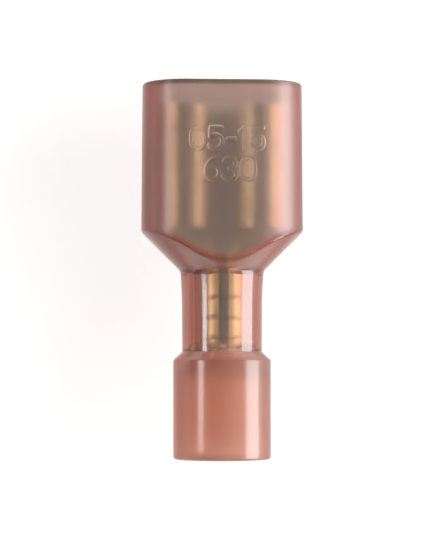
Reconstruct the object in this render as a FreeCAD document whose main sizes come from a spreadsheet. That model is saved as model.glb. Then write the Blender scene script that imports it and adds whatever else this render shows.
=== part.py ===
import FreeCAD, Part
import math
import os

import Sketcher

# Fully insulated female spade terminal: a moulded nylon housing over one stamped and rolled brass receptacle.
# Each piece is modelled standing on its long axis. The origin is the middle of the mouth, +Z runs from the
# mouth to the wire entry and is called the station, +X is the width and +Y points to the side with the rolled
# edges. The placement lays both pieces down on a broad face of the head, with the mouth towards +Y.

SIZES = [
    ("metal_thickness", 0.4, "brass strip"),
    ("receptacle_width", 7.4, "outside width over the rolled edges"),
    ("receptacle_length", 7.2, "length of the rolled edges"),
    ("roll_radius", 1.45, "outside radius of each rolled edge"),
    ("lip_length", 0.15, "straight edge that ends each roll"),
    ("tab_grip", 0.7, "gap under those edges, less than the 0.81 mm tab so that it is gripped"),
    ("side_bend_radius", 0.12, "inside radius where the floor turns up"),
    ("lead_in", 0.15, "chamfer where the tab enters, and where the strands do"),
    ("dimple_station", 3.1, "from the front of the floor to the middle of the detent dimple"),
    ("dimple_radius", 0.8, "foot of the dimple"),
    ("dimple_height", 0.18, "how far the dimple stands above the floor"),
    ("transition_width", 5.0, "width of the strip where it leaves the rolled edges"),
    ("barrel_bore", 1.7, "hole of the crimp barrel, for the stripped strands"),
    ("barrel_length", 5.0, "length of the crimp barrel"),
    ("barrel_seam", 0.34, "open seam of the crimp barrel, along its inner edge"),
    ("serration_count", 3, "grooves inside the barrel"),
    ("serration_width", 0.24, "width of each groove"),
    ("serration_depth", 0.06, "depth of each groove"),
    ("serration_pitch", 1.15, "distance between the grooves"),
    ("serration_start", 1.35, "from the front of the barrel to the first groove"),
    ("witness_width", 0.12, "width of the mark that each groove leaves outside"),
    ("witness_depth", 0.03, "depth of that mark"),
    ("mouth_recess", 1.25, "from the mouth to the front of the receptacle"),
    ("side_clearance", 0.25, "between the rolled edges and the cavity"),
    ("shoulder_clearance", 0.15, "from the back of the rolled edges to the corner of the shoulder"),
    ("cone_clearance", 0.41, "between the front of the barrel and the cone round it"),
    ("barrel_clearance", 0.04, "radial clearance between barrel and neck"),
    ("head_wall", 0.8, "wall of the head round the cavity"),
    ("head_thickness", 6.1, "outside thickness of the head at the shoulder"),
    ("head_draft", 0.4, "mould draft of the head in degrees, opening towards the shoulder"),
    ("end_crown_radius", 6.0, "crown of the two narrow ends"),
    ("end_height", 0.9, "height of the narrow ends between the centres of their corners"),
    ("mouth_rounding", 0.12, "rounding of the outer edge of the mouth"),
    ("mouth_chamfer", 0.25, "chamfer of its inner edge"),
    ("shoulder_wall", 0.7, "wall of the cone, square to its surface"),
    ("shoulder_angle", 45.0, "half angle of the cone in degrees"),
    ("shoulder_blend", 0.15, "rounding of the crease between head and cone"),
    ("neck_blend", 0.6, "rounding between cone and neck"),
    ("neck_wall", 1.07, "wall of the neck at its narrow end"),
    ("neck_draft", 0.96, "mould draft of the neck in degrees"),
    ("stop_lip", 0.05, "how far the stop behind the barrel stands inside its hole, to catch no strand"),
    ("funnel_length", 1.75, "cone that leads the strands from the grip to the stop"),
    ("grip_bore", 4.2, "hole that takes the insulated wire"),
    ("grip_wall", 0.765, "wall of the insulation grip"),
    ("grip_step", 0.5, "length of the bevel from the neck to the grip"),
    ("grip_length", 5.8, "straight length of the insulation grip"),
    ("grip_chamfer", 0.4, "chamfer of its hole"),
    ("grip_rounding", 0.18, "rounding of its outer edge"),
]

RUNOUT = 1.0  # how far a cutting shape reaches past the face that it cuts
SLACK = 0.02  # how far an edge may lie from the place where it is looked for
LEAST_CHANGE = 1e-6  # least volume that a feature has to add or take away
BOWED_BEND = 0.235  # share of the barrel's closing angle that the strip has a third of the way to it
TROUGH_BEND = 0.6  # and two thirds of the way
CONE = "tan(sizes.shoulder_angle * 1deg)"

# Radii from the axis, and heights above it
BORE_RADIUS = "(sizes.barrel_bore / 2)"
BARREL_RADIUS = f"({BORE_RADIUS} + sizes.metal_thickness)"
NECK_BORE = f"({BARREL_RADIUS} + sizes.barrel_clearance)"
STOP_RADIUS = f"({BORE_RADIUS} - sizes.stop_lip)"
GRIP_BORE = "(sizes.grip_bore / 2)"
GRIP_RADIUS = f"({GRIP_BORE} + sizes.grip_wall)"
HALF_WIDTH = "(sizes.receptacle_width / 2 + sizes.side_clearance + sizes.head_wall)"
HALF_THICKNESS = "(sizes.head_thickness / 2)"
CONE_INSIDE = f"({HALF_WIDTH} - sizes.shoulder_wall / cos(sizes.shoulder_angle * 1deg))"
FLOOR_UNDER = f"(-{BARREL_RADIUS})"
FLOOR_TOP = f"({FLOOR_UNDER} + sizes.metal_thickness)"
FLOOR_END = "(sizes.receptacle_width / 2 - sizes.metal_thickness - sizes.side_bend_radius)"

# Stations along the axis
TRANSITION_START = "(sizes.mouth_recess + sizes.receptacle_length)"
SHOULDER_START = f"({TRANSITION_START} + sizes.shoulder_clearance)"
BARREL_START = f"({SHOULDER_START} + ({CONE_INSIDE} - {BARREL_RADIUS} - sizes.cone_clearance) / {CONE})"
NECK_END = f"({BARREL_START} + sizes.barrel_length)"
NECK_END_RADIUS = f"({NECK_BORE} + sizes.neck_wall)"
NECK_TAPER = "tan(sizes.neck_draft * 1deg)"
NECK_START = (f"(({HALF_WIDTH} - {NECK_END_RADIUS} + {SHOULDER_START} * {CONE} - {NECK_END} * {NECK_TAPER})"
              f" / ({CONE} - {NECK_TAPER}))")
NECK_START_RADIUS = f"({NECK_END_RADIUS} + ({NECK_END} - {NECK_START}) * {NECK_TAPER})"
GRIP_START = f"({NECK_END} + sizes.grip_step)"
TOTAL_LENGTH = f"({GRIP_START} + sizes.grip_length)"


def make_sheet(doc):
    """Writes every driving dimension to a cell with an alias."""
    sheet = doc.addObject("Spreadsheet::Sheet", "sizes")
    for row, (alias, value, note) in enumerate(SIZES, start=1):
        sheet.set(f"A{row}", alias)
        sheet.set(f"B{row}", str(value))
        sheet.setAlias(f"B{row}", alias)
        sheet.set(f"C{row}", note)
    doc.recompute()


def number(owner, expression):
    """The value that an expression has now, as a plain number."""
    value = owner.evalExpression(expression)
    return float(getattr(value, "Value", value))


def origin_part(body, role):
    return next(part for part in body.Origin.OriginFeatures if part.Role == role)


def new_sketch(body, name, plane, station=None, along="z"):
    """A sketch on one of the body's own origin planes, moved to a station along one of the sketch's axes."""
    sketch = body.newObject("Sketcher::SketchObject", name)
    sketch.AttachmentSupport = [(origin_part(body, plane), "")]
    sketch.MapMode = "FlatFace"
    if station is not None:
        sketch.setExpression(f"AttachmentOffset.Base.{along}", station)
    return sketch


def bind(sketch, constraint, expression):
    """Adds a constraint whose value follows an expression."""
    index = sketch.addConstraint(constraint)
    sketch.renameConstraint(index, f"size_{index}")
    sketch.setExpression(f"Constraints.size_{index}", expression)


def pin_point(sketch, edge, position, x, y):
    """Places a point of an edge at two expressions, or on an axis where one of them is None."""
    for kind, sketch_axis, expression in (("DistanceX", -2, x), ("DistanceY", -1, y)):
        if expression is None:
            sketch.addConstraint(Sketcher.Constraint("PointOnObject", edge, position, sketch_axis))
        else:
            value = number(sketch, expression)
            bind(sketch, Sketcher.Constraint(kind, -1, 1, edge, position, value), expression)


def circle_arc(centre, radius, start_angle, end_angle):
    circle = Part.Circle(centre, FreeCAD.Vector(0, 0, 1), radius)
    return Part.ArcOfCircle(circle, start_angle, end_angle)


def arc_between(start, end, radius, turn):
    """The shorter arc from start to end. A turn of 1 is anticlockwise, and -1 is clockwise."""
    chord = end - start
    rise = math.sqrt(max(radius**2 - chord.Length**2 / 4, 0.0))
    left = FreeCAD.Vector(-chord.y, chord.x, 0) / chord.Length
    centre = (start + end) / 2 + left * rise * turn
    first, last = (start, end) if turn > 0 else (end, start)
    angles = [math.atan2(point.y - centre.y, point.x - centre.x) for point in (first, last)]
    return circle_arc(centre, radius, *angles)


def outline(sketch, points):
    """A closed outline. A point is (x, y) after a straight edge, or (x, y, radius, turn) after an arc."""
    def at(point):
        x, y = (0.0 if value is None else number(sketch, value) for value in point[:2])
        return FreeCAD.Vector(x, y, 0)

    edges = []
    for before, point in zip(points[-1:] + points[:-1], points):
        if len(point) == 2:
            edge = sketch.addGeometry(Part.LineSegment(at(before), at(point)), False)
            edges.append((edge, 1, 2))
            continue
        radius, turn = point[2:]
        value = number(sketch, radius)
        edge = sketch.addGeometry(arc_between(at(before), at(point), value, turn), False)
        bind(sketch, Sketcher.Constraint("Radius", edge, value), radius)
        edges.append((edge, 1, 2) if turn > 0 else (edge, 2, 1))
    for (edge, _, end), (following, start, _) in zip(edges, edges[1:] + edges[:1]):
        sketch.addConstraint(Sketcher.Constraint("Coincident", edge, end, following, start))
    for (edge, _, end), point in zip(edges, points):
        pin_point(sketch, edge, end, point[0], point[1])


def mirrored_outline(sketch, right_half):
    """A closed outline from its right half, listed anticlockwise from its bottom edge to its top one."""
    left_half = []
    arcs = [point[2:] for point in right_half[1:]] + [()]
    for (x, y, *_), arc in zip(right_half[::-1], arcs[::-1]):
        left_half.append((f"-{x}", y, *arc))
    outline(sketch, right_half + left_half)


def crowned_oval(sketch, inset):
    """The section of the head, taken in all round by an inset: flat faces, crowned ends and round corners."""
    half_width = f"({HALF_WIDTH} - {inset})"
    end = f"(sizes.end_crown_radius - {inset})"
    corner = f"({HALF_THICKNESS} - sizes.end_height / 2 - {inset})"
    corner_height = "(sizes.end_height / 2)"
    half_w, end_value, corner_value, corner_y = (
        number(sketch, size) for size in (half_width, end, corner, corner_height)
    )
    end_x = half_w - end_value
    corner_x = end_x + math.sqrt((end_value - corner_value) ** 2 - corner_y**2)
    end_angle = math.atan2(corner_y, corner_x - end_x)
    quarter = math.pi / 2

    def arc(x, y, radius, start_angle, end_angle):
        return sketch.addGeometry(circle_arc(FreeCAD.Vector(x, y, 0), radius, start_angle, end_angle), False)

    def face(side):
        line = Part.LineSegment(*(FreeCAD.Vector(side * x, side * (corner_y + corner_value), 0)
                                  for x in (corner_x, -corner_x)))
        return sketch.addGeometry(line, False)

    right = arc(end_x, 0, end_value, -end_angle, end_angle)
    top_right = arc(corner_x, corner_y, corner_value, end_angle, quarter)
    top = face(1)
    top_left = arc(-corner_x, corner_y, corner_value, quarter, 2 * quarter - end_angle)
    left = arc(-end_x, 0, end_value, 2 * quarter - end_angle, 2 * quarter + end_angle)
    bottom_left = arc(-corner_x, -corner_y, corner_value, 2 * quarter + end_angle, 3 * quarter)
    bottom = face(-1)
    bottom_right = arc(corner_x, -corner_y, corner_value, -quarter, -end_angle)
    ring = [right, top_right, top, top_left, left, bottom_left, bottom, bottom_right]
    for edge, following in zip(ring, ring[1:] + ring[:1]):
        sketch.addConstraint(Sketcher.Constraint("Tangent", edge, 2, following, 1))
    for edge in (top, bottom):
        sketch.addConstraint(Sketcher.Constraint("Horizontal", edge))
    bind(sketch, Sketcher.Constraint("Radius", right, end_value), end)
    bind(sketch, Sketcher.Constraint("Radius", top_right, corner_value), corner)
    sketch.addConstraint(Sketcher.Constraint("Equal", right, left))
    for edge in (top_left, bottom_left, bottom_right):
        sketch.addConstraint(Sketcher.Constraint("Equal", top_right, edge))
    pin_point(sketch, right, 3, f"({half_width} - {end})", None)
    pin_point(sketch, left, 3, f"({end} - {half_width})", None)
    for edge, sign in ((top_right, ""), (bottom_right, "-")):
        height = number(sketch, sign + corner_height)
        bind(sketch, Sketcher.Constraint("DistanceY", -1, 1, edge, 3, height), sign + corner_height)


def strip_arc(sketch, inner_radius, half_angle, rise=None):
    """The strip bent to an arc that is open at the top. Its centre rises above the axis where asked.
    Both arcs are split at the bottom, which keeps the transition's loft from twisting."""
    outer_radius = f"({inner_radius} + sizes.metal_thickness)"
    inner, outer, opening = (number(sketch, size) for size in (inner_radius, outer_radius, half_angle))
    centre = FreeCAD.Vector(0, 0.0 if rise is None else number(sketch, rise), 0)
    bottom = math.radians(-90)
    first, last = (math.radians(-90 + side * opening) for side in (-1, 1))

    def arc(radius, start_angle, end_angle):
        return sketch.addGeometry(circle_arc(centre, radius, start_angle, end_angle), False)

    def end_line(angle, start_radius, end_radius):
        way = FreeCAD.Vector(math.cos(angle), math.sin(angle), 0)
        line = Part.LineSegment(centre + way * start_radius, centre + way * end_radius)
        return sketch.addGeometry(line, False)

    outer_right = arc(outer, bottom, last)
    right = end_line(last, outer, inner)
    inner_right = arc(inner, bottom, last)
    inner_left = arc(inner, first, bottom)
    left = end_line(first, inner, outer)
    outer_left = arc(outer, first, bottom)
    for edge, end, following, start in (
        (outer_right, 2, right, 1), (right, 2, inner_right, 2), (inner_right, 1, inner_left, 2),
        (inner_left, 1, left, 1), (left, 2, outer_left, 1), (outer_left, 2, outer_right, 1),
        (outer_right, 3, inner_right, 3), (outer_right, 3, inner_left, 3), (outer_right, 3, outer_left, 3),
    ):
        sketch.addConstraint(Sketcher.Constraint("Coincident", edge, end, following, start))
    pin_point(sketch, outer_right, 3, None, rise)
    bind(sketch, Sketcher.Constraint("Radius", outer_right, outer), outer_radius)
    bind(sketch, Sketcher.Constraint("Radius", inner_right, inner), inner_radius)
    for edge in (outer_right, inner_right):
        sketch.addConstraint(Sketcher.Constraint("PointOnObject", edge, 1, -2))
    for line, angle in ((right, f"(90 + {half_angle})"), (left, f"(270 - {half_angle})")):
        sketch.addConstraint(Sketcher.Constraint("PointOnObject", outer_right, 3, line))
        direction = math.radians(number(sketch, angle))
        bind(sketch, Sketcher.Constraint("Angle", line, direction), f"{angle} * 1deg")


def pad(body, name, sketch, length):
    feature = body.newObject("PartDesign::Pad", name)
    feature.Profile = sketch
    feature.setExpression("Length", length)
    return feature


def turned(body, kind, name, sketch, axis="V_Axis"):
    """A Revolution or a Groove of a sketch, a full turn about one of the sketch's axes."""
    feature = body.newObject(f"PartDesign::{kind}", name)
    feature.Profile = sketch
    feature.ReferenceAxis = (sketch, [axis])
    feature.Angle = 360
    return feature


def dressed(body, kind, name, size, wanted):
    """A Fillet or a Chamfer on the edges of the body's shape that pass a test."""
    body.Document.recompute()
    base = body.Tip
    names = [f"Edge{i}" for i, edge in enumerate(base.Shape.Edges, start=1) if wanted(edge)]
    feature = body.newObject(f"PartDesign::{kind}", name)
    feature.Base = (base, names)
    feature.setExpression("Radius" if kind == "Fillet" else "Size", size)
    return feature


def near(value, target, slack=SLACK):
    return abs(value - target) < slack


def at_station(body, station, inside=None):
    """Passes the edges in the plane of a station, within a half width where one is given."""
    plane = number(body, station)
    widest = number(body, inside) + SLACK if inside else math.inf

    def wanted(edge):
        box = edge.BoundBox
        reach = max(abs(box.XMin), abs(box.XMax), abs(box.YMin), abs(box.YMax))
        return near(box.ZMin, plane) and near(box.ZMax, plane) and reach <= widest
    return wanted


def head_form(body, prefix, inset, mouth_inset, mouth, cone_foot, narrow_radius):
    """The crowned section extruded from the mouth and turned down to the shoulder cone.
    The cone has a radius of cone_foot at the start of the shoulder, and ends at the narrow radius."""
    end = f"({SHOULDER_START} + ({cone_foot} - {narrow_radius}) / {CONE})"
    section = new_sketch(body, f"{prefix}_section", "XY_Plane", mouth)
    crowned_oval(section, mouth_inset)
    form = pad(body, f"{prefix}_form", section, f"{end} - {mouth}")
    if mouth_inset != inset:
        form.setExpression("TaperAngle", "sizes.head_draft")
    wide = f"({HALF_WIDTH} + {RUNOUT})"
    wide_station = f"({SHOULDER_START} + ({cone_foot} - {wide}) / {CONE})"
    past_end = f"({end} + {RUNOUT})"
    waste = new_sketch(body, f"{prefix}_cone_waste", "YZ_Plane")
    outline(waste, [(narrow_radius, end), (wide, wide_station), (wide, past_end), (narrow_radius, past_end)])
    turned(body, "Groove", f"{prefix}_cone", waste)


def make_core_pins(doc):
    """Everything that is hollow in the housing, as the core pins of its mould fill it."""
    body = doc.addObject("PartDesign::Body", "core_pins")
    wall = "sizes.head_wall"
    head_form(body, "cavity", wall, wall, f"(0 - {RUNOUT})", CONE_INSIDE, NECK_BORE)
    bores = new_sketch(body, "bore_profile", "XZ_Plane")
    past_end = f"({TOTAL_LENGTH} + {RUNOUT})"
    grip_mouth = f"({GRIP_BORE} + sizes.grip_chamfer)"
    outline(bores, [
        (None, SHOULDER_START),
        (NECK_BORE, SHOULDER_START),
        (NECK_BORE, NECK_END),
        (STOP_RADIUS, NECK_END),
        (GRIP_BORE, f"({NECK_END} + sizes.funnel_length)"),
        (GRIP_BORE, f"({TOTAL_LENGTH} - sizes.grip_chamfer)"),
        (grip_mouth, TOTAL_LENGTH),
        (grip_mouth, past_end),
        (None, past_end),
    ])
    turned(body, "Revolution", "bores", bores)
    return body


def make_housing(doc):
    """The moulded nylon: an oval head, a cone, a round neck and the insulation grip, less its core pins."""
    body = doc.addObject("PartDesign::Body", "insulating_housing")
    mouth_inset = f"({SHOULDER_START} * tan(sizes.head_draft * 1deg))"
    head_form(body, "head", "0", mouth_inset, "0", HALF_WIDTH, NECK_START_RADIUS)
    shank = new_sketch(body, "shank_profile", "XZ_Plane")
    outline(shank, [
        (None, SHOULDER_START),
        (NECK_START_RADIUS, SHOULDER_START),
        (NECK_START_RADIUS, NECK_START),
        (NECK_END_RADIUS, NECK_END),
        (GRIP_RADIUS, GRIP_START),
        (GRIP_RADIUS, TOTAL_LENGTH),
        (None, TOTAL_LENGTH),
    ])
    turned(body, "Revolution", "shank", shank)
    neck_ring = at_station(body, NECK_START, inside=NECK_START_RADIUS)
    dressed(body, "Fillet", "neck_blend", "sizes.neck_blend", neck_ring)
    first, slope, foot = (number(body, size) for size in (SHOULDER_START, CONE, HALF_WIDTH))

    def on_crease(edge):
        """The edge lies on the cone, but is neither its seam nor the ring where the neck starts."""
        middle = edge.valueAt((edge.FirstParameter + edge.LastParameter) / 2)
        points = [vertex.Point for vertex in edge.Vertexes] + [middle]
        on_cone = all(near(math.hypot(p.x, p.y), foot - (p.z - first) * slope) for p in points)
        return on_cone and not isinstance(edge.Curve, (Part.Line, Part.Circle))

    dressed(body, "Fillet", "shoulder_blend", "sizes.shoulder_blend", on_crease)
    dressed(body, "Fillet", "mouth_rounding", "sizes.mouth_rounding", at_station(body, "0"))
    dressed(body, "Fillet", "grip_rounding", "sizes.grip_rounding", at_station(body, TOTAL_LENGTH))
    hollow = body.newObject("PartDesign::Boolean", "hollow")
    hollow.Type = "Cut"
    hollow.setObjects([make_core_pins(doc)])
    cavity_edge = at_station(body, "0", inside=f"({HALF_WIDTH} - sizes.head_wall)")
    dressed(body, "Chamfer", "mouth_chamfer", "sizes.mouth_chamfer", cavity_edge)
    return body


def roll_profile(sketch):
    """The section through floor, sides and rolled edges. Each roll ends in a straight lip over the floor."""
    side = "(sizes.receptacle_width / 2)"
    side_inside = f"({side} - sizes.metal_thickness)"
    bend_outside = "(sizes.side_bend_radius + sizes.metal_thickness)"
    bend_top = f"({FLOOR_UNDER} + {bend_outside})"
    lip = f"({FLOOR_TOP} + sizes.tab_grip)"
    roll_centre = f"({lip} + sizes.lip_length)"
    roll_middle = f"({side} - sizes.roll_radius)"
    roll_inside = "(sizes.roll_radius - sizes.metal_thickness)"
    lip_inner_side = f"({side} - 2 * sizes.roll_radius)"
    lip_outer_side = f"({lip_inner_side} + sizes.metal_thickness)"
    mirrored_outline(sketch, [
        (FLOOR_END, FLOOR_UNDER),
        (side, bend_top, bend_outside, 1),
        (side, roll_centre),
        (roll_middle, f"({roll_centre} + sizes.roll_radius)", "sizes.roll_radius", 1),
        (lip_inner_side, roll_centre, "sizes.roll_radius", 1),
        (lip_inner_side, lip),
        (lip_outer_side, lip),
        (lip_outer_side, roll_centre),
        (roll_middle, f"({roll_centre} + {roll_inside})", roll_inside, -1),
        (side_inside, roll_centre, roll_inside, -1),
        (side_inside, bend_top),
        (FLOOR_END, FLOOR_TOP, "sizes.side_bend_radius", -1),
    ])


def make_terminal(doc):
    """The stamped brass: a floor with two rolled edges that grip the tab, a transition and the barrel."""
    body = doc.addObject("PartDesign::Body", "receptacle_terminal")
    section = new_sketch(body, "roll_section", "XY_Plane", "sizes.mouth_recess")
    roll_profile(section)
    pad(body, "rolled_receptacle", section, "sizes.receptacle_length")

    # The strip between receptacle and barrel bends up evenly, and its developed width grows on the way.
    seam_angle = f"asin(sizes.barrel_seam / 2 / {BORE_RADIUS}) / 1deg"
    closed_angle = f"(180 - {seam_angle})"
    barrel_width = f"(({BORE_RADIUS} + sizes.metal_thickness / 2) * {closed_angle} * pi / 180)"
    strip = new_sketch(body, "strip_flat", "XY_Plane", TRANSITION_START)
    half_strip = "(sizes.transition_width / 2)"
    outline(strip, [
        (half_strip, FLOOR_UNDER),
        (half_strip, FLOOR_TOP),
        (None, FLOOR_TOP),
        (f"-{half_strip}", FLOOR_TOP),
        (f"-{half_strip}", FLOOR_UNDER),
        (None, FLOOR_UNDER),
    ])
    sections = []
    for name, share, bend in (
        ("strip_bowed", "(1 / 3)", BOWED_BEND),
        ("strip_trough", "(2 / 3)", TROUGH_BEND),
    ):
        station = f"({TRANSITION_START} + ({BARREL_START} - {TRANSITION_START}) * {share})"
        angle = f"({closed_angle} * {bend})"
        width = f"({half_strip} + ({barrel_width} - {half_strip}) * {share})"
        inner_radius = f"({width} * 180 / pi / {angle} - sizes.metal_thickness / 2)"
        bowed = new_sketch(body, name, "XY_Plane", station)
        strip_arc(bowed, inner_radius, angle, f"({inner_radius} + sizes.metal_thickness - {BARREL_RADIUS})")
        sections.append(bowed)
    barrel_front = new_sketch(body, "barrel_front", "XY_Plane", BARREL_START)
    strip_arc(barrel_front, BORE_RADIUS, closed_angle)
    transition = body.newObject("PartDesign::AdditiveLoft", "transition")
    transition.Profile = strip
    transition.Sections = sections + [barrel_front]
    barrel_section = new_sketch(body, "barrel_section", "XY_Plane", BARREL_START)
    strip_arc(barrel_section, BORE_RADIUS, closed_angle)
    pad(body, "barrel", barrel_section, "sizes.barrel_length")

    # Grooves inside the barrel bite into the strands, and show outside as faint marks.
    groove_start = f"({BARREL_START} + sizes.serration_start)"
    groove_end = f"({groove_start} + sizes.serration_width)"
    groove_bottom = f"({BORE_RADIUS} + sizes.serration_depth)"
    groove_open = f"({BORE_RADIUS} / 2)"
    serration = new_sketch(body, "serration_profile", "XZ_Plane")
    outline(serration, [
        (groove_open, groove_start),
        (groove_bottom, groove_start),
        (groove_bottom, groove_end),
        (groove_open, groove_end),
    ])
    mark_start = f"({groove_start} + (sizes.serration_width - sizes.witness_width) / 2)"
    mark_end = f"({mark_start} + sizes.witness_width)"
    mark_bottom = f"({BARREL_RADIUS} - sizes.witness_depth)"
    mark_open = f"({BARREL_RADIUS} + {RUNOUT})"
    witness = new_sketch(body, "witness_profile", "XZ_Plane")
    outline(witness, [
        (mark_bottom, mark_start),
        (mark_open, mark_start),
        (mark_open, mark_end),
        (mark_bottom, mark_end),
    ])
    first_pair = [
        turned(body, "Groove", "serration", serration),
        turned(body, "Groove", "witness_mark", witness),
    ]
    rows = body.newObject("PartDesign::LinearPattern", "serration_rows")
    rows.Originals = first_pair
    rows.Direction = (origin_part(body, "Z_Axis"), [""])
    rows.setExpression("Length", "sizes.serration_pitch * (sizes.serration_count - 1)")
    rows.setExpression("Occurrences", "sizes.serration_count")
    body.Tip = rows

    # The detent dimple is pressed up from below, so it is a dome above the floor and a hollow under it.
    dimple_middle = "(sizes.mouth_recess + sizes.dimple_station)"
    dome_radius = "((sizes.dimple_radius ^ 2 + sizes.dimple_height ^ 2) / (2 * sizes.dimple_height))"
    half_floor = "(sizes.metal_thickness / 2)"
    for kind, name, surface, base in (
        ("Revolution", "dimple", FLOOR_TOP, f"({FLOOR_TOP} - {half_floor})"),
        ("Groove", "dimple_hollow", FLOOR_UNDER, f"({FLOOR_UNDER} - {half_floor})"),
    ):
        profile = new_sketch(body, f"{name}_profile", "YZ_Plane", dimple_middle, along="y")
        outline(profile, [
            (f"({surface} + sizes.dimple_height)", None),
            (surface, "sizes.dimple_radius", dome_radius, 1),
            (base, "sizes.dimple_radius"),
            (base, None),
        ])
        turned(body, kind, name, profile, "H_Axis")

    # The slot for the tab flares where the floor and both lips are chamfered together.
    under_lip = f"({FLOOR_TOP} + sizes.tab_grip)"
    flare_end = "(sizes.mouth_recess + sizes.lead_in)"
    flare = new_sketch(body, "tab_lead_in_profile", "YZ_Plane")
    outline(flare, [
        (f"({FLOOR_TOP} - sizes.lead_in)", "sizes.mouth_recess"),
        (f"({under_lip} + sizes.lead_in)", "sizes.mouth_recess"),
        (under_lip, flare_end),
        (FLOOR_TOP, flare_end),
    ])
    lead_in = body.newObject("PartDesign::Pocket", "tab_lead_in")
    lead_in.Profile = flare
    lead_in.SideType = "Symmetric"
    lead_in.setExpression("Length", f"2 * {FLOOR_END}")

    barrel_mouth = at_station(body, NECK_END, inside=BORE_RADIUS)

    def inner_arc(edge):
        return barrel_mouth(edge) and not isinstance(edge.Curve, Part.Line)

    dressed(body, "Chamfer", "strand_lead_in", "sizes.lead_in", inner_arc)
    return body


def lay_down(body):
    """Turns the piece from its long axis onto the broad face of the head, with the origin under its middle.
    The draft lets the face rise a little more from the start of the shoulder to where the cone meets it."""
    draft = "tan(sizes.head_draft * 1deg)"
    rise = f"({HALF_WIDTH} - {HALF_THICKNESS}) * {draft} / ({CONE} + {draft})"
    body.Placement = FreeCAD.Placement(FreeCAD.Vector(), FreeCAD.Rotation(FreeCAD.Vector(1, 0, 0), 90))
    body.setExpression("Placement.Base.y", f"{TOTAL_LENGTH} / 2")
    body.setExpression("Placement.Base.z", f"{HALF_THICKNESS} + {rise}")


def check(doc, pieces):
    """Stops on a failed object, a feature that changed nothing, or a piece that isn't one valid solid."""
    for item in doc.Objects:
        if {"Invalid", "Error"} & set(item.State):
            raise RuntimeError(f"{item.Label} failed: {item.State}")
    for body in pieces:
        for feature in body.Group:
            base = getattr(feature, "BaseFeature", None)
            if base and near(feature.Shape.Volume, base.Shape.Volume, LEAST_CHANGE):
                raise RuntimeError(f"{feature.Label} changed nothing")
        if body.Shape.isNull() or not body.Shape.isValid() or len(body.Shape.Solids) != 1:
            raise RuntimeError(f"{body.Label} isn't one valid solid")


def main():
    doc = FreeCAD.newDocument("spade_terminal")
    make_sheet(doc)
    pieces = [make_housing(doc), make_terminal(doc)]
    for body in pieces:
        lay_down(body)
    doc.recompute()
    check(doc, pieces)
    os.makedirs("parts", exist_ok=True)
    for body in pieces:
        body.Shape.exportStep(f"parts/{body.Label}.step")


main()
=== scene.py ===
"""A female spade terminal: a translucent nylon housing round a rolled brass terminal."""

import math

import bpy
import numpy as np
from bpy.props import FloatProperty, FloatVectorProperty, IntProperty, PointerProperty, StringProperty
from mathutils import Matrix, Vector


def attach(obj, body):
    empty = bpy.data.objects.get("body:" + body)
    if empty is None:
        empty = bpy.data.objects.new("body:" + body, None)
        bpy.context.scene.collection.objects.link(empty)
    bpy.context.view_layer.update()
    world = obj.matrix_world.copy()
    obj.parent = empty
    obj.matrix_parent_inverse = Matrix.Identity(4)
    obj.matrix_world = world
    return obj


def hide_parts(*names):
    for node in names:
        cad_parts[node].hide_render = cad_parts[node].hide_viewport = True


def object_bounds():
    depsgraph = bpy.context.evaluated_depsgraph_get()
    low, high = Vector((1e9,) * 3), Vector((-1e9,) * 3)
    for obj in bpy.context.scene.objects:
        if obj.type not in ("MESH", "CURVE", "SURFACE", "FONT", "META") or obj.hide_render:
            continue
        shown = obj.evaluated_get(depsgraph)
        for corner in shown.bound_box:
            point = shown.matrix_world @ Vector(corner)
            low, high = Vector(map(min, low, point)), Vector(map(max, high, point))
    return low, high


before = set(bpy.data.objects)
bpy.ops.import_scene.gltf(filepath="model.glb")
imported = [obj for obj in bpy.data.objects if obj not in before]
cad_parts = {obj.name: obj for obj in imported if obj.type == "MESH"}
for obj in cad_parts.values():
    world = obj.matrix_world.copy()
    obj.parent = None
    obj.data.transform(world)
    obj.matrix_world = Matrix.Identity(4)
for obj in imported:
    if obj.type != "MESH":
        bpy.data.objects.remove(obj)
CAD_LOW, CAD_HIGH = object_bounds()

bl_info = {
    "name": "Female spade terminal",
    "version": (1, 0, 0),
    "blender": (4, 5, 0),
    "location": "3D View > Sidebar > Terminal",
    "description": "Dresses the solids of a female spade terminal and lights them",
    "category": "Add Mesh",
}

MM = 0.001
INSIDE = "inside"
MOUTH_Y = CAD_HIGH.y
AXIS_Z = (CAD_LOW.z + CAD_HIGH.z) / 2
TOTAL_LENGTH = CAD_HIGH.y - CAD_LOW.y
HEAD_WIDTH = CAD_HIGH.x - CAD_LOW.x
SKIN = 0.02 * MM
CREASE_PASSES = 6
BLACK = (0.0, 0.0, 0.0, 1.0)
WHITE = (1.0, 1.0, 1.0, 1.0)


def length(name, description, millimetres):
    """A size that the sidebar shows with its unit."""
    return FloatProperty(
        name=name,
        description=description,
        default=millimetres * MM,
        precision=3,
        subtype="DISTANCE",
        unit="LENGTH",
    )


def angle(name, description, degrees):
    """An angle that the sidebar shows in degrees."""
    return FloatProperty(name=name, description=description, default=math.radians(degrees), subtype="ANGLE")


def share(name, description, value, most=1.0):
    """A plain number from none to the most."""
    return FloatProperty(name=name, description=description, default=value, min=0.0, max=most)


def colour(name, description, value):
    """A colour in linear light."""
    return FloatVectorProperty(
        name=name, description=description, default=value, size=3, min=0.0, max=1.0, subtype="COLOR"
    )


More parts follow.
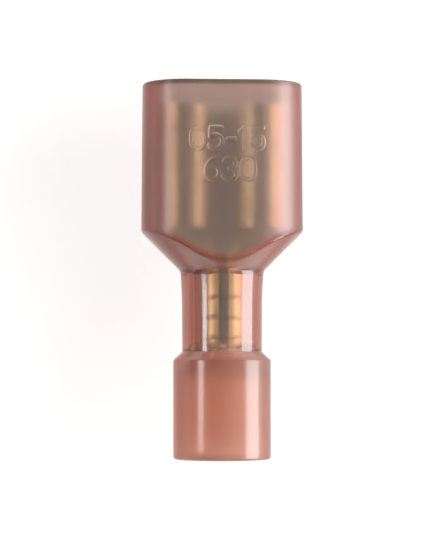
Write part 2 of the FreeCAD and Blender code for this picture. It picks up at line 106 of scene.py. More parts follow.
class HousingSizes(bpy.types.PropertyGroup):
    """Sizes of the nylon housing. A station is a distance from the mouth along the terminal."""

    head_height: length("Head height", "Across the two flat faces at the shoulder", 6.1)
    head_draft: angle("Head draft", "How much the head's sides lean in towards the mouth", 0.4)
    end_height: length("End height", "Between the centres of two corner arcs on one side", 0.9)
    end_crown: length("End crown", "Radius of the two narrow sides", 6.0)
    head_wall: length("Head wall", "Wall round the cavity", 0.8)
    mouth_rounding: length("Mouth rounding", "Outer edge of the mouth", 0.12)
    mouth_chamfer: length("Mouth chamfer", "Inner edge of the mouth", 0.25)
    shoulder_start: length("Shoulder start", "Station where the cone leaves the widest point", 8.7)
    shoulder_wall: length("Shoulder wall", "Wall of the cone, square to it", 0.7)
    shoulder_blend: length("Shoulder blend", "Rounding of the crease between narrow side and cone", 0.28)
    face_blend: length("Face blend", "What the broad faces add to that rounding", 0.3)
    neck_start_radius: length("Neck start radius", "Where the neck leaves the cone", 2.46)
    waist_radius: length("Waist radius", "Where the neck's taper ends", 2.372)
    waist_station: length("Waist station", "Where the neck's taper ends", 12.4)
    waist_blend: length("Waist blend", "Long hollow between the taper and the straight neck", 25.0)
    neck_end_radius: length("Neck end radius", "Where the neck meets the grip", 2.35)
    neck_end: length("Neck end", "Station where the neck meets the grip", 15.7)
    neck_bore: length("Neck bore radius", "Bore round the barrel", 1.29)
    neck_blend: length("Neck blend", "Hollow rounding between cone and neck", 0.45)
    stop_radius: length("Stop radius", "Lip that the barrel rests on", 0.8)
    funnel_end: length("Funnel end", "Station where the funnel reaches the grip bore", 17.45)
    grip_start: length("Grip start", "Station where the grip has its full radius", 16.2)
    grip_radius: length("Grip radius", "Outside of the insulation grip", 2.865)
    grip_bore: length("Grip bore radius", "Bore for the wire's insulation", 2.1)
    grip_chamfer: length("Grip chamfer", "Inner edge of the grip's open end", 0.4)
    grip_rounding: length("Grip rounding", "Outer edge of the grip's open end", 0.18)
    edge_rounding: length("Edge rounding", "Break of the remaining moulded edges", 0.05)
    fine_start: length("Fine start", "Station where the fine mesh of the numerals starts", 2.62)
    fine_end: length("Fine end", "Station where it ends", 6.0)
    fine_half: length("Fine half", "Half of its width", 2.42)
    fine_step: length("Fine step", "Spacing of that mesh", 0.026)
    coarse_steps: IntProperty(name="Coarse steps", description="Columns round the rest", default=140, min=24)


class NumeralSizes(bpy.types.PropertyGroup):
    """The numerals pressed into the head's upper face."""

    first_row: StringProperty(name="First row", description="Characters nearest the mouth", default="05-15")
    second_row: StringProperty(name="Second row", description="Characters below them", default="630")
    first_station: length("First station", "Station of the first row's top", 2.81)
    second_station: length("Second station", "Station of the second row's top", 4.58)
    first_shift: length("First shift", "The first row's centre from the middle of the face", 0.13)
    second_shift: length("Second shift", "The second row's centre from the middle of the face", 0.27)
    height: length("Height", "Height of a numeral", 1.24)
    width: length("Width", "Width of a numeral", 0.78)
    gap: length("Gap", "Clear space between two characters", 0.25)
    stroke: length("Stroke", "Width of a stroke", 0.2)
    edge: length("Edge", "Width of a stroke's sloping edge", 0.06)
    depth: length("Depth", "How deep the numerals are pressed in", 0.08)


class NylonLook(bpy.types.PropertyGroup):
    """Colour and gloss of the housing."""

    tint: colour("Tint", "Colour of the cone", (0.95, 0.58, 0.50))
    rim_tint: colour("Rim tint", "Colour of the head in front of the brass", (0.70, 0.60, 0.555))
    grip_tint: colour("Grip tint", "Colour of the grip", (0.88, 0.60, 0.49))
    # Painted shade: the narrow sides of head, cone and neck take a darker, deeper red that stands in for how
    # light passes through and reflects off the nylon seen edge-on.
    side_shade_tint: colour("Side tint", "Colour of the narrow sides of head, cone and neck", (0.60, 0.16, 0.09))
    # Painted shade: a deeper red band along the crease between head and cone, standing in for the darker
    # colour light takes through the thick nylon there.
    crease_shade_tint: colour("Crease tint", "Colour of the soft line between head and cone", (0.90, 0.34, 0.28))
    # Painted shade: the grip turns a darker red towards its sides, standing in for how light passes and
    # reflects there.
    grip_side_shade_tint: colour("Edge tint", "Colour of the grip along the parting line", (0.66, 0.30, 0.21))
    head_tint: colour("Head tint", "Colour of the head's broad faces", (0.79, 0.74, 0.73))
    neck_tint: colour("Neck tint", "Colour of the neck over the barrel", (0.92, 0.84, 0.74))
    cloud_tint: colour("Cloud tint", "Colour of the faint clouds in the nylon", (0.60, 0.30, 0.25))
    shade_tint: colour("Shade tint", "Colour of light that fell through one surface", (0.93, 0.87, 0.80))
    depth_tint: colour("Depth tint", "Colour that the nylon takes on in thick places", (0.51, 0.20, 0.12))
    cloud_share: share("Cloud share", "How strongly the clouds show", 0.1)
    crease_shade_share: share("Crease share", "How strongly the crease shows", 0.8)
    density: share("Density", "How soon the nylon deepens in colour, for each metre", 350.0, 5000.0)
    clearness: share("Clearness", "Share of the light that passes and isn't scattered", 0.84)
    head_roughness: share("Head roughness", "Roughness of the frosted head", 0.33)
    neck_roughness: share("Neck roughness", "Roughness of the polished neck", 0.11)
    grip_roughness: share("Grip roughness", "Roughness of the satin grip", 0.30)
    core_roughness: share("Core roughness", "What the cavity and the bores add to that", 0.10)
    grip_bore_roughness: share("Grip bore roughness", "What the funnel and the grip's bore add to that", 0.42)
    gloss: share("Gloss", "Skin of polished nylon on the neck and the grip", 0.85)
    gloss_roughness: share("Gloss roughness", "Roughness of that skin", 0.16)
    grain_roughness: share("Grain roughness", "How far the grain changes the roughness", 0.06)
    refraction: share("Refraction", "Index of refraction", 1.53, 3.0)
    rim_end: length("Rim end", "Station where the rim's colour starts to fade", 0.8)
    rim_fade: length("Rim fade", "Length of that change", 0.8)
    head_end: length("Head end", "Station where the head's finish has to end at the latest", 10.3)
    head_fade: length("Head fade", "Length of that change", 0.3)
    cone_end: length("Cone end", "Station where the cone's colour starts to fade", 10.7)
    cone_fade: length("Cone fade", "Length of that change", 0.4)
    edge_width: length("Edge width", "Width over which the head's finish sets in at the crease", 0.1)
    # Widths and heights over which the crease's painted shade fades.
    crease_width: length("Crease width", "Width over which the crease fades on the head", 0.3)
    crease_low: length("Crease low", "Height above the axis where the crease starts on the cone", 2.72)
    crease_high: length("Crease high", "Height above the axis where it is full", 2.98)
    # Where the painted shade of the narrow sides starts and where it is full.
    side_shade_low: share("Side low", "Share of the radius where the narrow side's colour starts", 0.54)
    side_shade_high: share("Side high", "Share of the radius where it is full", 0.82)
    head_side_shade_low: share("Head side low", "The same start on the head", 0.85)
    head_side_shade_high: share("Head side high", "The same end on the head", 0.97)
    gloss_low: share("Gloss low", "Share of the radius where the gloss starts to fade", 0.66)
    gloss_high: share("Gloss high", "Share of the radius where it is gone", 0.82)
    # Where the grip's painted side shade starts.
    grip_side_shade_low: share("Edge low", "Share of the radius where the parting line's colour starts", 0.70)
    cloud_size: length("Cloud size", "Size of the clouds", 2.2)
    grain_size: length("Grain size", "Size of the grain", 0.07)
    drawn_size: length("Drawn size", "Width of the fine lines along the terminal", 0.25)
    flow_depth: length("Flow depth", "Depth of the waves in the surface", 0.012)
    grain_depth: length("Grain depth", "Depth of the grain", 0.0022)


class BrassLook(bpy.types.PropertyGroup):
    """Colour and gloss of the brass strip."""

    bright: colour("Bright brass", "Clean brass", (0.92, 0.84, 0.50))
    dull: colour("Dull brass", "Brass that has begun to tarnish", (0.70, 0.61, 0.36))
    # Painted shade: the pressed rings of the barrel are painted darker, standing in for the shade in their
    # grooves.
    ring_shade: colour("Soiled brass", "Brass in the pressed rings of the barrel", (0.40, 0.30, 0.17))
    roughness: share("Roughness", "Roughness of the rolled edges", 0.28)
    barrel_roughness: share("Barrel roughness", "What the worked barrel adds to that", 0.14)
    tarnish_roughness: share("Tarnish roughness", "What tarnish adds to that", 0.12)
    grain_roughness: share("Grain roughness", "How far the grain changes the roughness", 0.1)
    barrel_start: length("Barrel start", "Station where the worked barrel starts", 9.5)
    barrel_fade: length("Barrel fade", "Length of that change", 1.0)
    patch_size: length("Patch size", "Size of the dull patches", 1.6)
    grain_size: length("Grain size", "Width of the rolled grain", 0.06)
    grain_depth: length("Grain depth", "Depth of the grain", 0.003)
    first_mark: length("First mark", "Station of the first ring that a groove leaves outside", 12.52)
    mark_pitch: length("Mark pitch", "Distance between the rings", 1.21)
    mark_count: IntProperty(name="Mark count", description="Rings on the barrel", default=3, min=1)
    mark_width: length("Mark width", "From the middle of a ring to clean brass", 0.24)
    mark_waver: length("Mark waver", "How far a ring strays from its station", 0.4)
    waver_size: length("Waver size", "Length of one such stray", 0.9)
    mark_depth: length("Mark depth", "Depth of a ring", 0.025)
    # How strongly the rings' painted shade shows.
    ring_shade_share: share("Mark soil", "How strongly a ring is soiled", 0.5)


class StudioSettings(bpy.types.PropertyGroup):
    """Floor, lamps and camera."""

    floor_size: length("Floor size", "Side of the floor", 1600.0)
    camera_height: length("Camera height", "Above the terminal's axis", 124.2)
    camera_left: length("Camera left", "How far the camera stands to the left", 8.7)
    camera_down: length("Camera down", "How far the camera stands towards the grip", 5.16)
    aim_left: length("Aim left", "How far the camera aims to the left of the middle", 0.03)
    aim_down: length("Aim down", "How far the camera aims towards the grip", 0.2)
    focal_length: FloatProperty(name="Focal length", description="In millimetres of lens", default=138.76)
    softbox_power: FloatProperty(name="Softbox power", description="Watts of the right lamp", default=1.0)
    strip_power: FloatProperty(name="Strip power", description="Watts of the left lamp", default=0.14)
    lamp_distance: length("Lamp distance", "From the terminal's axis to each lamp", 250.0)
    softbox_width: length("Softbox width", "Across the terminal", 187.0)
    softbox_length: length("Softbox length", "Along the terminal", 320.0)
    softbox_turn: angle("Softbox turn", "From overhead to the right", 75.0)
    strip_width: length("Strip width", "Across the terminal", 56.0)
    strip_length: length("Strip length", "Along the terminal", 110.0)
    strip_turn: angle("Strip turn", "From overhead to the left", 54.5)
    strip_up: length("Strip up", "How far the strip's middle lies towards the mouth", 33.0)
    surround: share("Surround", "Dim light from all around", 0.11)
    horizon: share("Horizon", "Height of the white horizon, as the sine of its angle", 0.08)
    floor_glow: share("Floor glow", "Light that the floor sends to the eye", 0.74)
    floor_dimming: share("Floor dimming", "Share of the lamps' light that the eye misses there", 0.25)


def crowned_radius(turn, inset, sizes):
    """Distance from the axis to the head's crowned oval, along rays at these angles."""
    across, up = np.abs(np.cos(turn)), np.abs(np.sin(turn))
    flat_height = sizes.head_height / 2 - inset
    corner_up = sizes.end_height / 2
    corner_radius = sizes.head_height / 2 - corner_up
    crown_back = sizes.end_crown - HEAD_WIDTH / 2
    reach = math.sqrt((sizes.end_crown - corner_radius) ** 2 - corner_up**2)
    corner_across = reach - crown_back
    on_flat = flat_height / np.maximum(up, 1e-9)
    crown_radius = sizes.end_crown - inset
    on_crown = np.sqrt(crown_radius**2 - (crown_back * up) ** 2) - crown_back * across
    towards = corner_across * across + corner_up * up
    reached = towards**2 - corner_across**2 - corner_up**2 + (corner_radius - inset) ** 2
    on_corner = towards + np.sqrt(np.maximum(reached, 0))
    crown_slope = corner_up / reach
    in_crown = on_crown * up <= crown_slope * (on_crown * across + crown_back)
    in_flat = on_flat * across <= corner_across
    return np.where(in_flat, on_flat, np.where(in_crown, on_crown, on_corner))


def drafted_radius(turn, station, sizes):
    """Outside of the head at a station, where its sides lean in towards the mouth."""
    inset = (sizes.shoulder_start - station) * math.tan(sizes.head_draft)
    return crowned_radius(turn, inset, sizes)


def crease_station(turn, sizes):
    """Station at which the cone cuts the head, along rays at these angles."""
    station = np.full_like(turn, sizes.shoulder_start)
    for _ in range(CREASE_PASSES):
        station = sizes.shoulder_start + HEAD_WIDTH / 2 - drafted_radius(turn, station, sizes)
    return station


def housing_corners(turn, sizes):
    """Corners of the housing's section along each ray, from the mouth round to the mouth again.
    Each is a radius, a station, a rounding, the rounding's steps and the rows to the next corner."""
    even = np.ones_like(turn)
    half_width = HEAD_WIDTH / 2
    cone_foot = half_width + sizes.shoulder_start
    cavity = crowned_radius(turn, sizes.head_wall, sizes)
    chamfered = crowned_radius(turn, sizes.head_wall - sizes.mouth_chamfer, sizes)
    inner_foot = cone_foot - sizes.shoulder_wall * math.sqrt(2)
    crease = crease_station(turn, sizes)
    fine_rows = round((sizes.fine_end - sizes.fine_start) / sizes.fine_step)
    crease_blend = sizes.shoulder_blend + np.abs(np.sin(turn)) * sizes.face_blend
    neck_start = cone_foot - sizes.neck_start_radius
    small = sizes.edge_rounding
    return [
        (chamfered, 0 * even, 0, 0, 1),
        (drafted_radius(turn, 0, sizes), 0 * even, sizes.mouth_rounding, 5, 5),
        (drafted_radius(turn, sizes.fine_start, sizes), sizes.fine_start * even, 0, 0, fine_rows),
        (drafted_radius(turn, sizes.fine_end, sizes), sizes.fine_end * even, 0, 0, 9),
        (cone_foot - crease, crease, crease_blend, 7, 6),
        (sizes.neck_start_radius * even, neck_start * even, sizes.neck_blend, 8, 3),
        (sizes.waist_radius * even, sizes.waist_station * even, sizes.waist_blend, 6, 6),
        (sizes.neck_end_radius * even, sizes.neck_end * even, small, 3, 2),
        (sizes.grip_radius * even, sizes.grip_start * even, small * 2, 4, 12),
        (sizes.grip_radius * even, TOTAL_LENGTH * even, sizes.grip_rounding, 5, 1),
        ((sizes.grip_bore + sizes.grip_chamfer) * even, TOTAL_LENGTH * even, small, 3, 1),
        (sizes.grip_bore * even, (TOTAL_LENGTH - sizes.grip_chamfer) * even, small, 3, 6),
        (sizes.grip_bore * even, sizes.funnel_end * even, small, 3, 3),
        (sizes.stop_radius * even, sizes.neck_end * even, 0, 0, 2),
        (sizes.neck_bore * even, sizes.neck_end * even, 0, 0, 6),
        (sizes.neck_bore * even, (inner_foot - sizes.neck_bore) * even, small, 3, 4),
        (cavity, inner_foot - cavity, small * 2, 4, 16),
        (cavity, sizes.mouth_chamfer * even, small, 2, 1),
    ]


def rounded_rows(corners):
    """Points along the section through these corners, as rows of (radius, station) for every ray.
    A rounding is a true arc, drawn as a weighted curve between its two tangent points."""
    places = [np.array([radius, station]) for radius, station, *_ in corners]
    arcs = []
    for index, (_, _, rounding, steps, _) in enumerate(corners):
        here = places[index]
        back = places[index - 1] - here
        ahead = places[(index + 1) % len(places)] - here
        back /= np.linalg.norm(back, axis=0)
        ahead /= np.linalg.norm(ahead, axis=0)
        half_turn = (math.pi - np.arccos(np.clip((back * ahead).sum(axis=0), -1, 1))) / 2
        tangent = rounding * np.tan(half_turn)
        if not steps:
            arcs.append([here])
            continue
        weight = np.cos(half_turn)
        arc = []
        for t in np.linspace(0, 1, steps):
            middle = 2 * weight * t * (1 - t)
            whole = (1 - t) ** 2 + middle + t**2
            start, end = here + back * tangent, here + ahead * tangent
            arc.append(((1 - t) ** 2 * start + middle * here + t**2 * end) / whole)
        arcs.append(arc)
    rows = []
    for index, (*_, between) in enumerate(corners):
        rows += arcs[index]
        start, end = arcs[index][-1], arcs[(index + 1) % len(arcs)][0]
        rows += [start + (end - start) * step / between for step in range(1, between)]
    return np.array(rows)


def bar(start, end):
    """A straight stroke."""
    return [start, end]


def bow(centre, radii, first, last):
    """A round stroke: part of an ellipse between two angles in degrees, drawn in short steps."""
    steps = max(4, round(abs(last - first) / 12))
    turns = np.radians(np.linspace(first, last, steps + 1))
    return [(centre[0] + radii[0] * math.cos(t), centre[1] + radii[1] * math.sin(t)) for t in turns]


# Each character is a width, as a share of a numeral's, and its strokes in a box of side one.
CHARACTERS = {
    "0": (1.0, [
        bow((0.5, 0.66), (0.5, 0.34), 0, 180),
        bow((0.5, 0.34), (0.5, 0.34), 180, 360),
        bar((0, 0.34), (0, 0.66)),
        bar((1, 0.34), (1, 0.66)),
    ]),
    "1": (0.5, [bar((0.7, 0), (0.7, 1)), bar((0.7, 1), (0.0, 0.8))]),
    "3": (1.0, [bow((0.45, 0.76), (0.45, 0.24), 155, -90), bow((0.45, 0.26), (0.5, 0.26), 90, -155)]),
    "5": (1.0, [
        bar((0.92, 1), (0.12, 1)),
        bar((0.12, 1), (0.06, 0.56)),
        bow((0.45, 0.33), (0.52, 0.33), 137, -150),
    ]),
    "6": (1.0, [bow((0.5, 0.32), (0.5, 0.32), 0, 360), bow((0.82, 0.32), (0.82, 0.68), 180, 95)]),
    "-": (0.62, [bar((0.1, 0.47), (0.9, 0.47))]),
}


def row_strokes(text, station, shift, sizes):
    """Strokes of one row of characters, as pairs of points in (x, station)."""
    widths = [CHARACTERS[character][0] * sizes.width for character in text]
    left = shift - (sum(widths) + sizes.gap * (len(text) - 1)) / 2
    strokes = []
    for character, width in zip(text, widths):
        for points in CHARACTERS[character][1]:
            path = [(left + x * width, station + (1 - y) * sizes.height) for x, y in points]
            strokes += list(zip(path, path[1:]))
        left += width + sizes.gap
    return strokes


def numeral_depth(x, station, sizes):
    """How far the pressed numerals sink the face at these points."""
    strokes = row_strokes(sizes.first_row, sizes.first_station, sizes.first_shift, sizes)
    strokes += row_strokes(sizes.second_row, sizes.second_station, sizes.second_shift, sizes)
    nearest = np.full(x.shape, np.inf)
    for (x0, s0), (x1, s1) in strokes:
        run = np.array([x1 - x0, s1 - s0])
        along = ((x - x0) * run[0] + (station - s0) * run[1]) / (run @ run)
        along = np.clip(along, 0, 1)
        nearest = np.minimum(nearest, np.hypot(x - x0 - along * run[0], station - s0 - along * run[1]))
    inside = np.clip((sizes.stroke / 2 - nearest) / sizes.edge + 0.5, 0, 1)
    return sizes.depth * inside**2 * (3 - 2 * inside)


def housing_turns(sizes):
    """Angles of the rays: close together across the upper face, and even round the rest."""
    face_height = sizes.head_height / 2
    across = np.arange(sizes.fine_half, -sizes.fine_half, -sizes.fine_step)
    fine = np.arctan2(face_height, across)
    coarse = np.linspace(fine[-1], fine[0] + 2 * math.pi, sizes.coarse_steps + 1)[1:-1]
    return np.concatenate([fine, coarse])


def inside_share(rows):
    """One on the cavity and the bores and nought outside, which is where a path's first half runs."""
    order = np.arange(len(rows))
    furthest = rows[:, 1, 0].argmax()
    return np.repeat((order > furthest).astype(np.float32)[:, None], rows.shape[2], axis=1)


def housing_mesh(sizes, numerals):
    """The closed mesh of the housing, its cavity and bores included."""
    turn = housing_turns(sizes)
    rows = rounded_rows(housing_corners(turn, sizes))
    radius, station = rows[:, 0], rows[:, 1]
    x, up = radius * np.cos(turn), radius * np.sin(turn)
    outside = radius > drafted_radius(turn, station, sizes) - SKIN
    on_face = outside & (up > 0) & (station < sizes.shoulder_start)
    up = up - np.where(on_face, numeral_depth(x, station, numerals), 0)
    places = np.stack([x, MOUTH_Y - station, AXIS_Z + up], axis=2).reshape(-1, 3)
    count, around = radius.shape
    first = np.arange(count * around).reshape(count, around)
    faces = np.stack(
        [first, np.roll(first, -1, 0), np.roll(first, (-1, -1), (0, 1)), np.roll(first, -1, 1)], axis=2
    ).reshape(-1, 4)
    mesh = bpy.data.meshes.new("insulating_housing_moulded")
    mesh.from_pydata(places.tolist(), [], faces[:, ::-1].tolist())
    mesh.shade_smooth()
    mesh.attributes.new(INSIDE, "FLOAT", "POINT").data.foreach_set("value", inside_share(rows).ravel())
    return mesh


class Value:
    """A number that changes over a surface, with Python's operators for sums on it."""

    def __init__(self, finish, socket):
        self.finish = finish
        self.socket = socket

    def __add__(self, other):
        return self.finish.maths("ADD", self, other)

    def __sub__(self, other):
        return self.finish.maths("SUBTRACT", self, other)

    def __rsub__(self, other):
        return self.finish.maths("SUBTRACT", other, self)

    def __mul__(self, other):
        return self.finish.maths("MULTIPLY", self, other)

    def __truediv__(self, other):
        return self.finish.maths("DIVIDE", self, other)

    __radd__ = __add__
    __rmul__ = __mul__


class Finish:
    """The nodes of one material or of the world."""

    def __init__(self, tree):
        self.tree = tree
        tree.nodes.clear()

    def node(self, kind, settings=None, values=None):
        """A node with its settings, and then with values or links on its sockets."""
        made = self.tree.nodes.new(kind)
        for name, value in (settings or {}).items():
            setattr(made, name, value)
        for name, value in (values or {}).items():
            value = value.socket if isinstance(value, Value) else value
            if isinstance(value, bpy.types.NodeSocket):
                self.tree.links.new(value, made.inputs[name])
            else:
                made.inputs[name].default_value = value
        return made

    def maths(self, operation, *numbers):
        """The result of one operation on numbers and values."""
        made = self.node("ShaderNodeMath", {"operation": operation}, dict(enumerate(numbers)))
        return Value(self, made.outputs[0])

    def rise(self, value, low, high):
        """Nought up to low, one from high on, and smooth between them."""
        made = self.node(
            "ShaderNodeMapRange",
            {"interpolation_type": "SMOOTHSTEP"},
            {"Value": value, "From Min": low, "From Max": high},
        )
        return Value(self, made.outputs[0])

    def places(self):
        """The place on the part, as a vector and as its three parts."""
        vector = self.node("ShaderNodeTexCoord").outputs["Object"]
        parts = self.node("ShaderNodeSeparateXYZ", values={0: vector}).outputs
        return vector, [Value(self, part) for part in parts]

    def stretched(self, vector, scales):
        """The vector with each part scaled, for a pattern longer in one direction."""
        made = self.node("ShaderNodeVectorMath", {"operation": "MULTIPLY"}, {0: vector, 1: scales})
        return made.outputs[0]

    def noise(self, vector, size, detail=2.0):
        """Noise whose patches are about this size across."""
        values = {"Vector": vector, "Scale": 1 / size, "Detail": detail}
        made = self.node("ShaderNodeTexNoise", values=values)
        return Value(self, made.outputs[0])

    def blend(self, factor, first, second):
        """The first colour, turning into the second as the factor goes from nought to one."""
        made = self.node("ShaderNodeMix", {"data_type": "RGBA"}, {0: factor, 6: first, 7: second})
        return made.outputs[2]

    def bump(self, height, depth, under=None):
        """A normal for a height from nought to one, over this depth."""
        values = {"Strength": 1.0, "Distance": depth, "Height": height}
        if under is not None:
            values["Normal"] = under
        return self.node("ShaderNodeBump", values=values).outputs[0]


def new_material(name):
    """A material and the finish that fills it."""
    material = bpy.data.materials.new(name)
    material.use_nodes = True
    return material, Finish(material.node_tree)


def opaque(rgb):
    """A colour with its fourth number."""
    return (*rgb, 1.0)


def nylon_material(look, sizes):
    """Red translucent nylon, frosted on the head, polished on the neck and milky on the grip, with painted
    shade on the narrow sides, along the crease and on the grip's sides.
    """
    material, finish = new_material("translucent_nylon")
    place, (x, y, z) = finish.places()
    station = MOUTH_Y - y
    radius = finish.maths("SQRT", x * x + (z - AXIS_Z) * (z - AXIS_Z))
    cone_foot = HEAD_WIDTH / 2 + sizes.shoulder_start
    to_cone = cone_foot - radius - station
    edge_end = SKIN + look.edge_width
    head = finish.rise(to_cone, SKIN, edge_end)
    head = head * (1 - finish.rise(station, look.head_end, look.head_end + look.head_fade))
    core = Value(finish, finish.node("ShaderNodeAttribute", {"attribute_name": INSIDE}).outputs["Fac"])
    clouds = finish.noise(finish.stretched(place, (1, 0.45, 1)), look.cloud_size, 3.0)
    grain = finish.noise(place, look.grain_size, 3.0)
    drawn = finish.noise(finish.stretched(place, (1, 0.12, 1)), look.drawn_size, 2.0)
    grip = finish.rise(station, sizes.neck_end, sizes.grip_start)
    cone = (1 - head) * (1 - finish.rise(station, look.cone_end, look.cone_end + look.cone_fade))
    across = finish.maths("ABSOLUTE", x) / radius
    # Painted shade: far off the axis the nylon is painted a darker red, standing in for the light at its
    # edges.
    side_shade_low = look.side_shade_low + head * (look.head_side_shade_low - look.side_shade_low)
    side_shade_high = look.side_shade_high + head * (look.head_side_shade_high - look.side_shade_high)
    painted_side_shade = finish.rise(across, side_shade_low, side_shade_high)
    rim = 1 - finish.rise(station, look.rim_end, look.rim_end + look.rim_fade)
    over_brass = finish.blend(head, opaque(look.neck_tint), opaque(look.head_tint))
    moulded = finish.blend(cone, over_brass, opaque(look.tint))
    moulded = finish.blend(rim, moulded, opaque(look.rim_tint))
    # Painted shade: a deeper red band on the cone beside the crease.
    beside = 1 - finish.rise(to_cone, edge_end, edge_end + look.crease_width)
    off_axis = finish.maths("ABSOLUTE", z - AXIS_Z)
    crease = beside * finish.rise(off_axis, look.crease_low, look.crease_high)
    moulded = finish.blend(crease * (1 - core) * look.crease_shade_share, moulded, opaque(look.crease_shade_tint))
    moulded = finish.blend(painted_side_shade, moulded, opaque(look.side_shade_tint))
    # Painted shade: the grip darkens towards its sides.
    painted_grip_side_shade = finish.rise(across, look.grip_side_shade_low, 1.0)
    grip_tone = finish.blend(painted_grip_side_shade, opaque(look.grip_tint), opaque(look.grip_side_shade_tint))
    moulded = finish.blend(grip, moulded, grip_tone)
    cloudy = finish.rise(clouds, 0.35, 0.65) * look.cloud_share
    tone = finish.blend(cloudy, moulded, opaque(look.cloud_tint))
    roughness = look.neck_roughness + grip * (look.grip_roughness - look.neck_roughness)
    roughness = roughness + head * (look.head_roughness - look.neck_roughness)
    roughness = roughness + (grain - 0.5) * look.grain_roughness
    roughness = roughness + core * (look.core_roughness + grip * look.grip_bore_roughness)
    glossy = (1 - finish.rise(across, look.gloss_low, look.gloss_high)) * (1 - head) * (1 - core)
    flow = finish.bump(clouds + drawn * 0.12, look.flow_depth)
    pitted = finish.bump(grain * (0.25 + head), look.grain_depth, flow)
    plastic = finish.node("ShaderNodeBsdfPrincipled", values={
        "Base Color": tone,
        "Roughness": roughness,
        "Normal": pitted,
        "IOR": look.refraction,
        "Transmission Weight": look.clearness,
        "Coat Weight": glossy * look.gloss,
        "Coat Roughness": look.gloss_roughness,
    })
    passing = finish.node("ShaderNodeBsdfTransparent", values={"Color": opaque(look.shade_tint)})
    shadow = finish.node("ShaderNodeLightPath").outputs["Is Shadow Ray"]
    surface = finish.node("ShaderNodeMixShader", values={
        0: shadow,
        1: plastic.outputs[0],
        2: passing.outputs[0],
    })
    body = finish.node("ShaderNodeVolumeAbsorption", values={
        "Color": opaque(look.depth_tint),
        "Density": look.density,
    })
    finish.node("ShaderNodeOutputMaterial", values={
        "Surface": surface.outputs[0],
        "Volume": body.outputs[0],
    })
    return material


def brass_material(look):
    """Rolled brass strip, with grain along the terminal, patches of dull tone and painted shade in the
    pressed rings of the barrel.
    """
    material, finish = new_material("rolled_brass")
    place, (_, y, _) = finish.places()
    station = MOUTH_Y - y
    barrel = finish.rise(station, look.barrel_start, look.barrel_start + look.barrel_fade)
    patches = finish.noise(place, look.patch_size, 4.0)
    grain = finish.noise(finish.stretched(place, (1, 0.04, 1)), look.grain_size, 3.0)
    tarnish_and_ring_shade = finish.rise(patches + (grain - 0.5) * 0.3, 0.35, 0.75)
    wavy = station + (finish.noise(place, look.waver_size, 2.0) - 0.5) * look.mark_waver
    first, last = look.first_mark, look.first_mark + look.mark_pitch * (look.mark_count - 1)
    along = finish.maths("MINIMUM", finish.maths("MAXIMUM", wavy, first), last)
    step = finish.maths("ROUND", (along - first) / look.mark_pitch) * look.mark_pitch + first
    off_mark = finish.maths("ABSOLUTE", wavy - step)
    mark = 1 - finish.rise(off_mark, 0, look.mark_width)
    # Painted shade: the rings turn dull and then darker, as shade in their grooves would be; their dents are
    # also bumped.
    tarnish_and_ring_shade = finish.maths("MAXIMUM", tarnish_and_ring_shade, mark)
    tone = finish.blend(tarnish_and_ring_shade, opaque(look.bright), opaque(look.dull))
    tone = finish.blend(mark * look.ring_shade_share, tone, opaque(look.ring_shade))
    dents = finish.bump(1 - mark, look.mark_depth)
    roughness = look.roughness + barrel * look.barrel_roughness + tarnish_and_ring_shade * look.tarnish_roughness
    metal = finish.node("ShaderNodeBsdfPrincipled", values={
        "Base Color": tone,
        "Metallic": 1.0,
        "Roughness": roughness + (grain - 0.5) * look.grain_roughness,
        "Normal": finish.bump(grain, look.grain_depth, dents),
    })
    finish.node("ShaderNodeOutputMaterial", values={"Surface": metal.outputs[0]})
    return material


def seen_directly(finish):
    """One for a ray from the camera, a mirror or glass, and nought for light on its way to a surface."""
    rays = finish.node("ShaderNodeLightPath").outputs
    seen = finish.maths("MAXIMUM", rays["Is Camera Ray"], rays["Is Glossy Ray"])
    return finish.maths("MAXIMUM", seen, rays["Is Transmission Ray"])


def floor_material(settings):
    """A white floor that stays white to the eye and still takes a soft shadow."""
    material, finish = new_material("white_floor")
    place, _ = finish.places()
    specks = finish.noise(place, 4 * MM, 3.0)
    paper = finish.blend(specks * 0.1, (0.95, 0.95, 0.95, 1), (0.9, 0.9, 0.9, 1))
    seen = seen_directly(finish)
    dimmed = finish.blend(seen * settings.floor_dimming, paper, BLACK)
    matt = finish.node("ShaderNodeBsdfDiffuse", values={"Color": dimmed})
    white = finish.node("ShaderNodeEmission", values={"Color": WHITE, "Strength": seen * settings.floor_glow})
    surface = finish.node("ShaderNodeAddShader", values={0: matt.outputs[0], 1: white.outputs[0]})
    finish.node("ShaderNodeOutputMaterial", values={"Surface": surface.outputs[0]})
    return material


def light_world(settings):
    """Dim light from all around, and a white horizon behind the floor under a dark ceiling."""
    world = bpy.data.worlds.new("studio")
    world.use_nodes = True
    bpy.context.scene.world = world
    finish = Finish(world.node_tree)
    direction = finish.node("ShaderNodeTexCoord").outputs["Generated"]
    up = Value(finish, finish.node("ShaderNodeSeparateXYZ", values={0: direction}).outputs[2])
    horizon = 1 - finish.rise(up, 0.0, settings.horizon)
    level = settings.surround + seen_directly(finish) * horizon * (1 - settings.surround)
    background = finish.node("ShaderNodeBackground", values={"Color": WHITE, "Strength": level})
    finish.node("ShaderNodeOutputWorld", values={"Surface": background.outputs[0]})


def aimed(obj, place, target):
    """Puts a lamp or camera in its place, with its face to the target and its top to the mouth."""
    obj.location = place
    back = (Vector(place) - Vector(target)).normalized()
    right = Vector((0, 1, 0)).cross(back).normalized()
    top = back.cross(right)
    obj.rotation_euler = Matrix((right, top, back)).transposed().to_euler()
    bpy.context.scene.collection.objects.link(obj)


def add_lamp(name, power, size, turn, along, distance):
    """A plain rectangular softbox, turned from overhead to the right, that faces the terminal."""
    place = (distance * math.sin(turn), along, AXIS_Z + distance * math.cos(turn))
    lamp = bpy.data.lights.new(name, "AREA")
    lamp.shape = "RECTANGLE"
    lamp.size, lamp.size_y = size
    lamp.energy = power
    aimed(bpy.data.objects.new(name, lamp), place, (0, place[1], AXIS_Z))


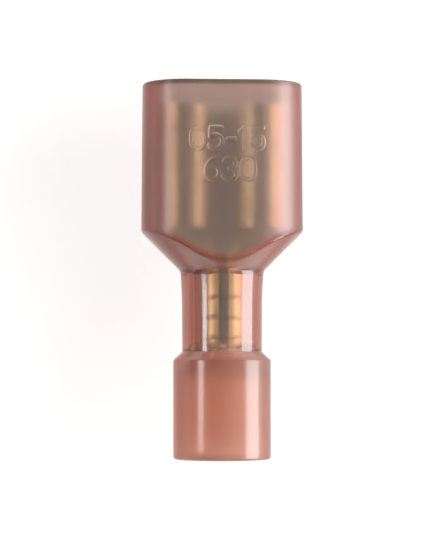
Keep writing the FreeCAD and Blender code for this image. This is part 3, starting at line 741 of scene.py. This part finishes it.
class SPADE_OT_housing(bpy.types.Operator):
    """Builds the moulded housing over its solid and gives it the nylon."""

    bl_idname = "spade.housing"
    bl_label = "Insulating housing"

    def execute(self, context):
        scene = context.scene
        mesh = housing_mesh(scene.spade_housing, scene.spade_numerals)
        housing = bpy.data.objects.new("insulating_housing_moulded", mesh)
        scene.collection.objects.link(housing)
        mesh.materials.append(nylon_material(scene.spade_nylon, scene.spade_housing))
        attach(housing, "root")
        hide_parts("insulating_housing")
        return {"FINISHED"}


class SPADE_OT_brass(bpy.types.Operator):
    """Gives the rolled terminal its brass."""

    bl_idname = "spade.brass"
    bl_label = "Receptacle terminal"

    def execute(self, context):
        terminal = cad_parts["receptacle_terminal"]
        terminal.data.materials.clear()
        terminal.data.materials.append(brass_material(context.scene.spade_brass))
        return {"FINISHED"}


class SPADE_OT_stage(bpy.types.Operator):
    """Adds the floor, the lamps and the camera."""

    bl_idname = "spade.stage"
    bl_label = "Floor, lamps and camera"

    def execute(self, context):
        scene = context.scene
        settings = scene.spade_studio
        half = settings.floor_size / 2
        mesh = bpy.data.meshes.new("floor")
        corners = [(-half, -half, 0), (half, -half, 0), (half, half, 0), (-half, half, 0)]
        mesh.from_pydata(corners, [], [(0, 1, 2, 3)])
        mesh.materials.append(floor_material(settings))
        floor = bpy.data.objects.new("floor", mesh)
        scene.collection.objects.link(floor)
        light_world(settings)
        add_lamp(
            "right_softbox",
            settings.softbox_power,
            (settings.softbox_width, settings.softbox_length),
            settings.softbox_turn,
            0,
            settings.lamp_distance,
        )
        add_lamp(
            "left_strip",
            settings.strip_power,
            (settings.strip_width, settings.strip_length),
            -settings.strip_turn,
            settings.strip_up,
            settings.lamp_distance,
        )
        camera = bpy.data.cameras.new("camera")
        camera.sensor_fit = "VERTICAL"
        camera.sensor_height = 36.0
        camera.lens = settings.focal_length
        camera.clip_start = 10 * MM
        camera.clip_end = 3000 * MM
        holder = bpy.data.objects.new("camera", camera)
        place = (-settings.camera_left, -settings.camera_down, AXIS_Z + settings.camera_height)
        aimed(holder, place, (-settings.aim_left, -settings.aim_down, AXIS_Z))
        scene.camera = holder
        scene.view_settings.view_transform = "Standard"
        return {"FINISHED"}


OPERATORS = (SPADE_OT_housing, SPADE_OT_brass, SPADE_OT_stage)


class SPADE_PT_sidebar(bpy.types.Panel):
    """Lists the steps in the 3D view's sidebar."""

    bl_idname = "SPADE_PT_sidebar"
    bl_label = "Female spade terminal"
    bl_space_type = "VIEW_3D"
    bl_region_type = "UI"
    bl_category = "Terminal"

    def draw(self, context):
        for operator in OPERATORS:
            self.layout.operator(operator.bl_idname)
        for group in SETTINGS:
            box = self.layout.box()
            for name in SETTINGS[group].__annotations__:
                box.prop(getattr(context.scene, group), name)


SETTINGS = {
    "spade_housing": HousingSizes,
    "spade_numerals": NumeralSizes,
    "spade_nylon": NylonLook,
    "spade_brass": BrassLook,
    "spade_studio": StudioSettings,
}


def register():
    for group, kind in SETTINGS.items():
        bpy.utils.register_class(kind)
        setattr(bpy.types.Scene, group, PointerProperty(type=kind))
    for kind in (*OPERATORS, SPADE_PT_sidebar):
        bpy.utils.register_class(kind)


def unregister():
    for kind in (SPADE_PT_sidebar, *reversed(OPERATORS)):
        bpy.utils.unregister_class(kind)
    for group, kind in reversed(SETTINGS.items()):
        delattr(bpy.types.Scene, group)
        bpy.utils.unregister_class(kind)


def main():
    """Builds the pieces in order."""
    register()
    bpy.ops.spade.housing()
    bpy.ops.spade.brass()
    bpy.ops.spade.stage()


if __name__ == "__main__":
    main()
